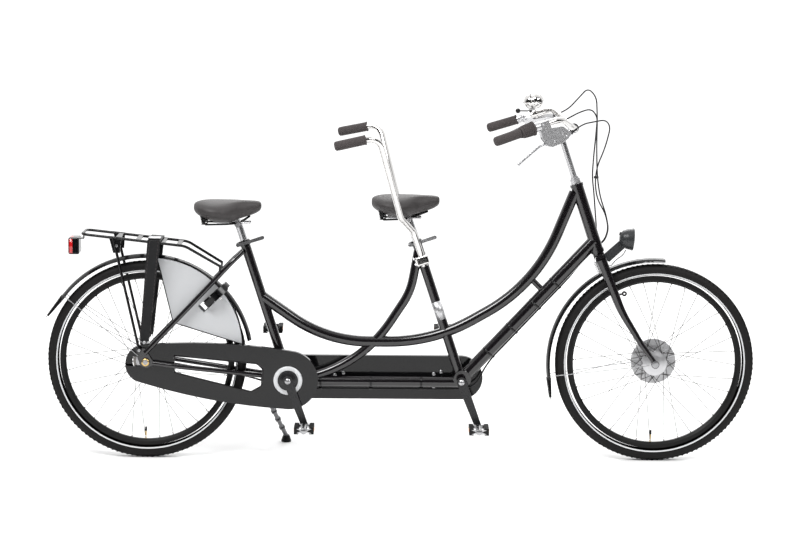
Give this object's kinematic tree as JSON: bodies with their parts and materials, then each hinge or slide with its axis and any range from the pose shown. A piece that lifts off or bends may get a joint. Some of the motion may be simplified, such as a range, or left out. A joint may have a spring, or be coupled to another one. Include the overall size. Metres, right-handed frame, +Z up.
{
  "type": "tandem bicycle",
  "caption": "Dutch roadster tandem: curved step-through frame, enclosed chain, coupled cranks, hub brakes, skirt guards, rear carrier, swept bars, side stand.",
  "frame": {"origin": "middle of the bounding box at ground level, standing on both tyres and the side stand", "axes": "+X forward, +Y to the riders' left, +Z up; the bicycle leans 2 degrees towards +Y on its stand"},
  "size_m": [2.528, 0.7238, 1.3146],
  "materials": {
    "frame_black": "glossy black enamel",
    "guard_black": "satin black plastic",
    "case_black": "satin black moulded plastic",
    "chrome_bright": "polished",
    "alloy": "satin polished alloy",
    "steel": "zinc plated steel",
    "black_steel": "satin black",
    "tyre_black": "black rubber with a pale reflective band",
    "grip_rubber": "dark rubber",
    "pedal_rubber": "ribbed black rubber",
    "saddle_cover": "soft black cover",
    "strap_web": "woven elastic webbing",
    "lamp_lens": "red lens in a black body",
    "guard_film": "translucent grey film in a black wire frame",
    "cable_black": "black outer casing",
    "chain_steel": "oiled steel"
  },
  "bodies": {
    "frame": {"head_tube": "frame_black", "down_tube": "frame_black", "main_tube": "frame_black", "rear_swan_tube": "frame_black", "captain_seat_tube": "frame_black", "stoker_seat_tube": "frame_black", "boom_tube": "frame_black", "bottom_brackets": "frame_black", "rear_triangle": "frame_black", "chain_case": "case_black", "timing_case": "case_black", "rear_mudguard": "guard_black", "rear_rack": "black_steel", "rack_straps": "strap_web", "tail_light": "lamp_lens", "coat_guards": "guard_film", "ring_lock": "black_steel", "stoker_handlebar": "chrome_bright", "stoker_grips": "grip_rubber", "rear_axle": "steel", "drive_chain": "chain_steel", "timing_chain": "chain_steel", "frame_cables": "cable_black"},
    "fork": {"fork": "frame_black", "front_axle": "steel", "front_mudguard": "guard_black", "headlight": "case_black", "stem": "alloy", "captain_handlebar": "chrome_bright", "captain_grips": "grip_rubber", "brake_housings": "alloy", "bell": "chrome_bright", "control_cables": "cable_black"},
    "front_wheel": {"front_tyre": "tyre_black", "front_rim": "guard_black", "front_spokes": "steel", "front_hub": "alloy"},
    "rear_wheel": {"rear_tyre": "tyre_black", "rear_rim": "guard_black", "rear_spokes": "steel", "rear_hub": "alloy"},
    "sprocket": {"rear_sprocket": "steel"},
    "stoker_crankset": {"stoker_cranks": "black_steel"},
    "captain_crankset": {"captain_cranks": "black_steel"},
    "stoker_pedal_r": {"stoker_pedal_right": "pedal_rubber"},
    "stoker_pedal_l": {"stoker_pedal_left": "pedal_rubber"},
    "captain_pedal_r": {"captain_pedal_right": "pedal_rubber"},
    "captain_pedal_l": {"captain_pedal_left": "pedal_rubber"},
    "kickstand": {"kickstand_leg": "alloy"},
    "captain_seat": {"captain_saddle": "saddle_cover", "captain_seatpost": "alloy"},
    "stoker_seat": {"stoker_saddle": "saddle_cover", "stoker_seatpost": "alloy"},
    "captain_lever": {"captain_quick_lever": "alloy"},
    "stoker_lever": {"stoker_quick_lever": "alloy"},
    "lever_right": {"brake_lever_right": "alloy"},
    "lever_left": {"brake_lever_left": "alloy"},
    "shifter": {"twist_shifter": "grip_rubber"},
    "bell_thumb": {"bell_lever": "black_steel"},
    "shackle": {"lock_shackle": "steel"}
  },
  "joints": [
    {"name": "steering", "type": "hinge", "parent": "frame", "child": "fork", "pos_m": [0.64695, -0.0366, 0.91446], "axis": [-0.3156, 0.0331, 0.9483], "range_deg": [-60, 60], "stiffness_Nm_per_rad": 4, "deforming": ["control_cables"]},
    {"name": "front_wheel_spin", "type": "hinge", "parent": "fork", "child": "front_wheel", "pos_m": [0.90895, -0.05615, 0.3548], "axis": [0, 0.9994, -0.0349], "continuous": true},
    {"name": "rear_wheel_spin", "type": "hinge", "parent": "frame", "child": "rear_wheel", "pos_m": [-0.90405, -0.05615, 0.3548], "axis": [0, 0.9994, -0.0349], "continuous": true},
    {"name": "stoker_crank", "type": "hinge", "parent": "frame", "child": "stoker_crankset", "pos_m": [-0.39905, -0.05842, 0.28984], "axis": [0, 0.9994, -0.0349], "continuous": true},
    {"name": "captain_crank", "type": "hinge", "parent": "frame", "child": "captain_crankset", "pos_m": [0.21895, -0.05842, 0.28984], "axis": [0, 0.9994, -0.0349], "continuous": true},
    {"name": "sprocket_turn", "type": "hinge", "parent": "frame", "child": "sprocket", "pos_m": [-0.90405, -0.05615, 0.3548], "axis": [0, 0.9994, -0.0349], "continuous": true},
    {"name": "stoker_pedal_right_spin", "type": "hinge", "parent": "stoker_crankset", "child": "stoker_pedal_r", "pos_m": [-0.33813, -0.06396, 0.13123], "axis": [0, 0.9994, -0.0349], "continuous": true},
    {"name": "stoker_pedal_left_spin", "type": "hinge", "parent": "stoker_crankset", "child": "stoker_pedal_l", "pos_m": [-0.45997, -0.05288, 0.44845], "axis": [0, 0.9994, -0.0349], "continuous": true},
    {"name": "captain_pedal_right_spin", "type": "hinge", "parent": "captain_crankset", "child": "captain_pedal_r", "pos_m": [0.27987, -0.06396, 0.13123], "axis": [0, 0.9994, -0.0349], "continuous": true},
    {"name": "captain_pedal_left_spin", "type": "hinge", "parent": "captain_crankset", "child": "captain_pedal_l", "pos_m": [0.15803, -0.05288, 0.44845], "axis": [0, 0.9994, -0.0349], "continuous": true},
    {"name": "kickstand_swing", "type": "hinge", "parent": "frame", "child": "kickstand", "pos_m": [-0.49205, -0.01926, 0.23644], "axis": [0, 0.8904, 0.4552], "range_deg": [0, 107]},
    {"name": "captain_seat_height", "type": "slide", "parent": "frame", "child": "captain_seat", "axis": [-0.3156, 0.0331, 0.9483], "range_m": [-0.005, 0.05]},
    {"name": "stoker_seat_height", "type": "slide", "parent": "frame", "child": "stoker_seat", "axis": [-0.3074, 0.0332, 0.951], "range_m": [-0.03, 0.05]},
    {"name": "captain_quick_lever_turn", "type": "hinge", "parent": "frame", "child": "captain_lever", "pos_m": [0.03269, -0.06192, 0.77414], "axis": [0.3156, -0.0331, -0.9483], "range_deg": [0, 16]},
    {"name": "stoker_quick_lever_turn", "type": "hinge", "parent": "frame", "child": "stoker_lever", "pos_m": [-0.579, -0.06209, 0.76932], "axis": [0.3074, -0.0332, -0.951], "range_deg": [0, 95]},
    {"name": "brake_lever_right_squeeze", "type": "hinge", "parent": "fork", "child": "lever_right", "pos_m": [0.52254, -0.27047, 1.17381], "axis": [-0.315, 0.9485, -0.0331], "range_deg": [0, 20], "stiffness_Nm_per_rad": 2, "springref_deg": -20.05},
    {"name": "brake_lever_left_squeeze", "type": "hinge", "parent": "fork", "child": "lever_left", "pos_m": [0.49973, 0.28624, 1.18052], "axis": [-0.1253, 0.5167, 0.8469], "range_deg": [0, 20], "stiffness_Nm_per_rad": 2, "springref_deg": -20.05},
    {"name": "gear_twist", "type": "hinge", "parent": "fork", "child": "shifter", "pos_m": [0.42315, -0.30217, 1.21115], "axis": [0.9053, 0.3107, 0.2898], "range_deg": [-60, 90]},
    {"name": "bell_lever_push", "type": "hinge", "parent": "fork", "child": "bell_thumb", "pos_m": [0.46795, 0.20667, 1.23316], "axis": [0, 0.0349, 0.9994], "range_deg": [0, 25], "stiffness_Nm_per_rad": 0.05, "springref_deg": -17.19},
    {"name": "lock_bolt", "type": "hinge", "parent": "frame", "child": "shackle", "pos_m": [-0.6625, -0.04815, 0.58388], "axis": [-0.6884, 0.0253, 0.7249], "range_deg": [0, 104]}
  ],
  "couplings": [
    {"joint": "captain_crank", "follows": "stoker_crank", "ratio": 1},
    {"joint": "sprocket_turn", "follows": "stoker_crank", "ratio": 2}
  ]
}
